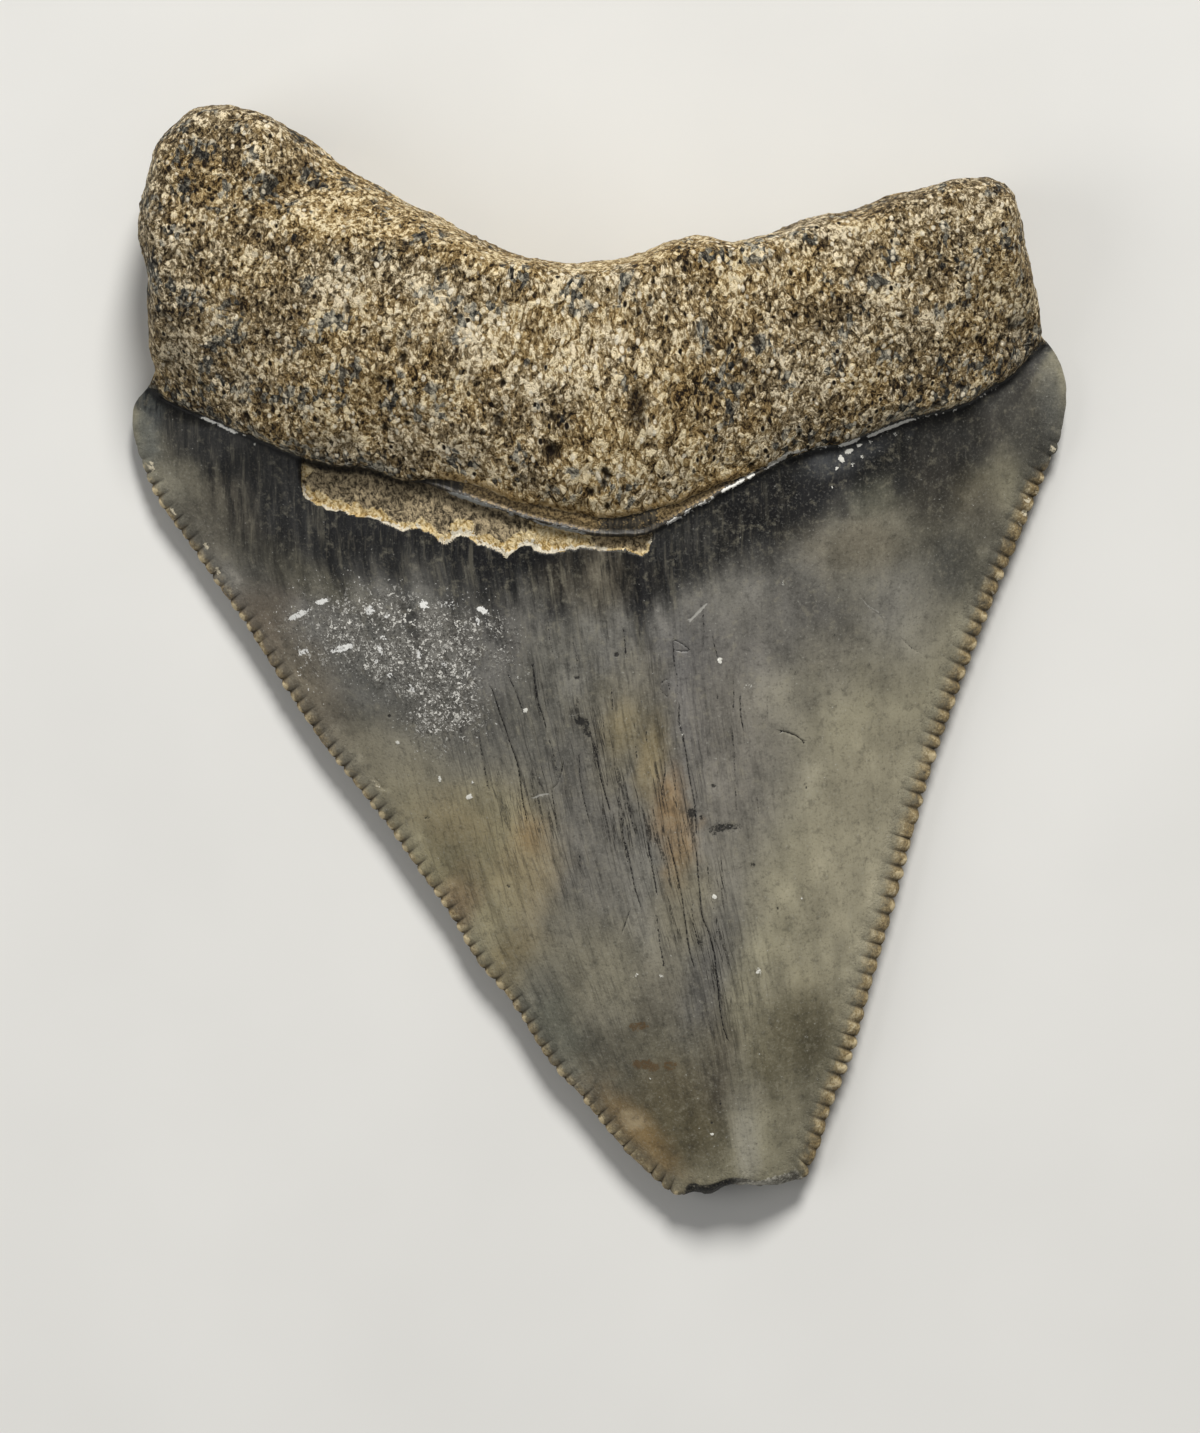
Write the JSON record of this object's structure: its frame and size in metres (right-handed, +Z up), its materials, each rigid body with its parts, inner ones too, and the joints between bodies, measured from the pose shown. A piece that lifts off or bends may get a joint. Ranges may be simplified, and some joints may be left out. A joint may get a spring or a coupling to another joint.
{
  "type": "fossil megalodon tooth",
  "caption": "Broad triangular fossil shark tooth with serrated edges and a two-lobed root, lying on its flat face for display.",
  "frame": {"origin": "centre of the tooth's bounding box in plan, at the height of the face that it lies on", "axes": "+X to the tooth's right as seen on its convex lingual face, +Y from the tip to the root, +Z up, out of the lingual face"},
  "size_m": [0.0468, 0.0542, 0.0107],
  "materials": {
    "fossil_tooth": "semi-gloss grey enamel, matt granular tan-brown root"
  },
  "bodies": {
    "root": {"tooth": "fossil_tooth"}
  },
  "joints": []
}
